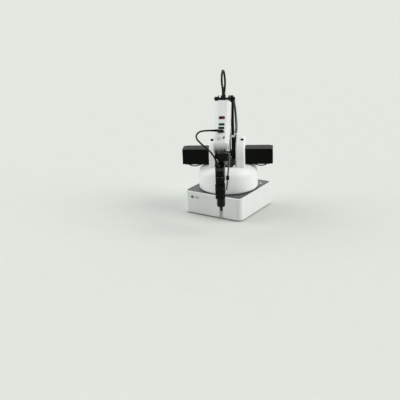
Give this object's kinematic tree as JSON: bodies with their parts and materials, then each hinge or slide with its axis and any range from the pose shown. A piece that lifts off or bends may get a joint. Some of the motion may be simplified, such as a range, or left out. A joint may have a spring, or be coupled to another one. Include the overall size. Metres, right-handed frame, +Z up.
{
  "type": "desktop robot arm",
  "caption": "Desktop parallel-linkage robot arm: square base, turning turret with two shoulder motors, rear arm, forearm with sockets, level wrist and suction-cup tool.",
  "frame": {"origin": "middle of the base's four mounting holes, on the plane that the feet stand on", "axes": "+Z up along the turret's axis, -Y towards the base's front face, +X towards its right side; the turret is stored turned 27.5 degrees from -Y towards +X"},
  "size_m": [0.2094, 0.2585, 0.3418],
  "materials": {
    "white_plastic": "satin moulded plastic",
    "white_paint": "fine white powder coat",
    "dark_plate": "fine matt grey paint",
    "sheet_steel": "black painted sheet steel",
    "foot_rubber": "soft rubber",
    "screw_steel": "blackened screws",
    "panel_plastic": "textured plastic",
    "black_plastic": "moulded plastic",
    "socket_metal": "plated shell",
    "button_plastic": "smooth plastic",
    "circuit_board": "lacquered board",
    "motor_black": "satin black",
    "bright_metal": "machined aluminium",
    "bearing_steel": "ground steel",
    "light_plastic": "frosted light pipe",
    "black_anodised": "black anodised",
    "cable_black": "smooth cable jacket",
    "pin_black": "blackened steel",
    "clip_white": "nylon",
    "sleeve_grey": "woven cable sleeve",
    "brass_bush": "turned brass",
    "socket_green": "moulded nylon",
    "socket_black": "moulded nylon",
    "socket_red": "moulded nylon",
    "plug_black": "moulded nylon",
    "button_grey": "smooth plastic",
    "bracket_black": "satin black",
    "cap_grey": "moulded plastic",
    "servo_black": "moulded plastic",
    "tube_clear": "clear tube, dark against the light",
    "fitting_black": "moulded plastic",
    "holder_dark": "turned plastic",
    "silicone_clear": "translucent silicone"
  },
  "bodies": {
    "base": {"base_shell": "white_plastic", "base_top_plate": "dark_plate", "base_bottom_plate": "sheet_steel", "rubber_feet": "foot_rubber", "base_screws": "screw_steel", "rear_port_panel": "panel_plastic", "dc_jack": "black_plastic", "data_sockets": "socket_metal", "control_board": "circuit_board", "yaw_motor": "motor_black", "yaw_bearing_housing": "bright_metal", "yaw_bearing_outer": "bearing_steel", "yaw_bearing_balls": "bearing_steel", "status_led": "light_plastic"},
    "power_button": {"power_button": "button_plastic"},
    "turret": {"yaw_bearing_inner": "bearing_steel", "turret_disc": "bright_metal", "turret_shell": "white_plastic", "left_tower_cover": "white_plastic", "right_tower_cover": "white_plastic", "left_frame_plate": "white_paint", "right_frame_plate": "white_paint", "frame_braces": "black_anodised", "tower_screws": "screw_steel", "left_shoulder_motor": "motor_black", "right_shoulder_motor": "motor_black", "shoulder_gearboxes": "bright_metal", "motor_leads": "cable_black"},
    "rear_arm": {"rear_arm_left": "black_anodised", "rear_arm_right": "black_anodised", "shoulder_shaft": "bearing_steel", "elbow_pin": "pin_black", "harness_clip": "clip_white", "arm_harness": "sleeve_grey"},
    "elbow_plate": {"elbow_plate": "black_anodised"},
    "rear_level_link": {"rear_level_link": "black_anodised"},
    "front_level_link": {"front_level_link": "black_anodised"},
    "drive_crank": {"drive_crank": "black_anodised"},
    "crank_bush": {"crank_bush": "brass_bush"},
    "drive_link": {"drive_link": "black_anodised"},
    "forearm": {"forearm_frame": "black_anodised", "forearm_cover": "white_plastic", "port_board": "circuit_board", "green_sockets": "socket_green", "black_socket": "socket_black", "red_socket": "socket_red", "servo_plug": "plug_black", "elbow_loop": "cable_black", "wrist_pin": "bearing_steel"},
    "unlock_button": {"unlock_button": "button_grey"},
    "wrist_bracket": {"wrist_bracket": "bracket_black", "wrist_cap": "cap_grey", "servo_body": "servo_black", "servo_lead": "cable_black", "air_tube": "tube_clear", "air_fitting": "fitting_black"},
    "tool": {"tool_block": "servo_black", "suction_holder": "holder_dark", "nozzle_tip": "holder_dark", "suction_cup": "silicone_clear"}
  },
  "joints": [
    {"name": "base_yaw", "type": "hinge", "parent": "base", "child": "turret", "pos_m": [0, 0, 0.058], "axis": [0, 0, 1], "range_deg": [-117.5, 62.5]},
    {"name": "shoulder", "type": "hinge", "parent": "turret", "child": "rear_arm", "pos_m": [0, 0, 0.138], "axis": [0.887, 0.4617, 0], "range_deg": [0, 75], "deforming": ["arm_harness"]},
    {"name": "elbow_level", "type": "hinge", "parent": "rear_arm", "child": "elbow_plate", "pos_m": [0, 0, 0.273], "axis": [0.887, 0.4617, 0], "range_deg": [-75, 0]},
    {"name": "elbow", "type": "hinge", "parent": "elbow_plate", "child": "forearm", "pos_m": [0, 0, 0.273], "axis": [0.887, 0.4617, 0], "range_deg": [-35, 24], "deforming": ["elbow_loop"]},
    {"name": "wrist_level", "type": "hinge", "parent": "forearm", "child": "wrist_bracket", "pos_m": [0.05505, -0.10576, 0.18701], "axis": [0.887, 0.4617, 0], "range_deg": [-24, 35], "deforming": ["servo_lead"]},
    {"name": "tool_turn", "type": "hinge", "parent": "wrist_bracket", "child": "tool", "pos_m": [0.07788, -0.16151, 0.121], "axis": [0, 0, 1], "range_deg": [-90, 90], "deforming": ["air_tube"]},
    {"name": "rear_link_turn", "type": "hinge", "parent": "turret", "child": "rear_level_link", "pos_m": [-0.01108, 0.02129, 0.138], "axis": [0.887, 0.4617, 0], "range_deg": [0, 75]},
    {"name": "front_link_turn", "type": "hinge", "parent": "elbow_plate", "child": "front_level_link", "pos_m": [-0.00332, 0.00639, 0.2576], "axis": [0.887, 0.4617, 0], "range_deg": [-35, 24]},
    {"name": "crank_turn", "type": "hinge", "parent": "turret", "child": "drive_crank", "pos_m": [0, 0, 0.138], "axis": [0.887, 0.4617, 0], "range_deg": [-35, 24]},
    {"name": "crank_bush_turn", "type": "hinge", "parent": "drive_crank", "child": "crank_bush", "pos_m": [-0.01755, 0.03371, 0.13], "axis": [0.887, 0.4617, 0], "range_deg": [-24, 35]},
    {"name": "drive_link_turn", "type": "hinge", "parent": "crank_bush", "child": "drive_link", "pos_m": [-0.01755, 0.03371, 0.13], "axis": [0.887, 0.4617, 0], "range_deg": [0, 75]},
    {"name": "power_press", "type": "slide", "parent": "base", "child": "power_button", "axis": [0, -1, 0], "range_m": [0, 0.0015], "stiffness_N_per_m": 800, "springref_m": -0.0006},
    {"name": "unlock_press", "type": "slide", "parent": "forearm", "child": "unlock_button", "axis": [-0.2701, 0.5189, -0.8111], "range_m": [0, 0.0012], "stiffness_N_per_m": 800, "springref_m": -0.0006}
  ],
  "couplings": [
    {"joint": "elbow_level", "follows": "shoulder", "ratio": -1},
    {"joint": "rear_link_turn", "follows": "shoulder", "ratio": 1},
    {"joint": "drive_link_turn", "follows": "shoulder", "ratio": 1},
    {"joint": "wrist_level", "follows": "elbow", "ratio": -1},
    {"joint": "front_link_turn", "follows": "elbow", "ratio": 1},
    {"joint": "crank_turn", "follows": "elbow", "ratio": 1},
    {"joint": "crank_bush_turn", "follows": "elbow", "ratio": -1}
  ]
}
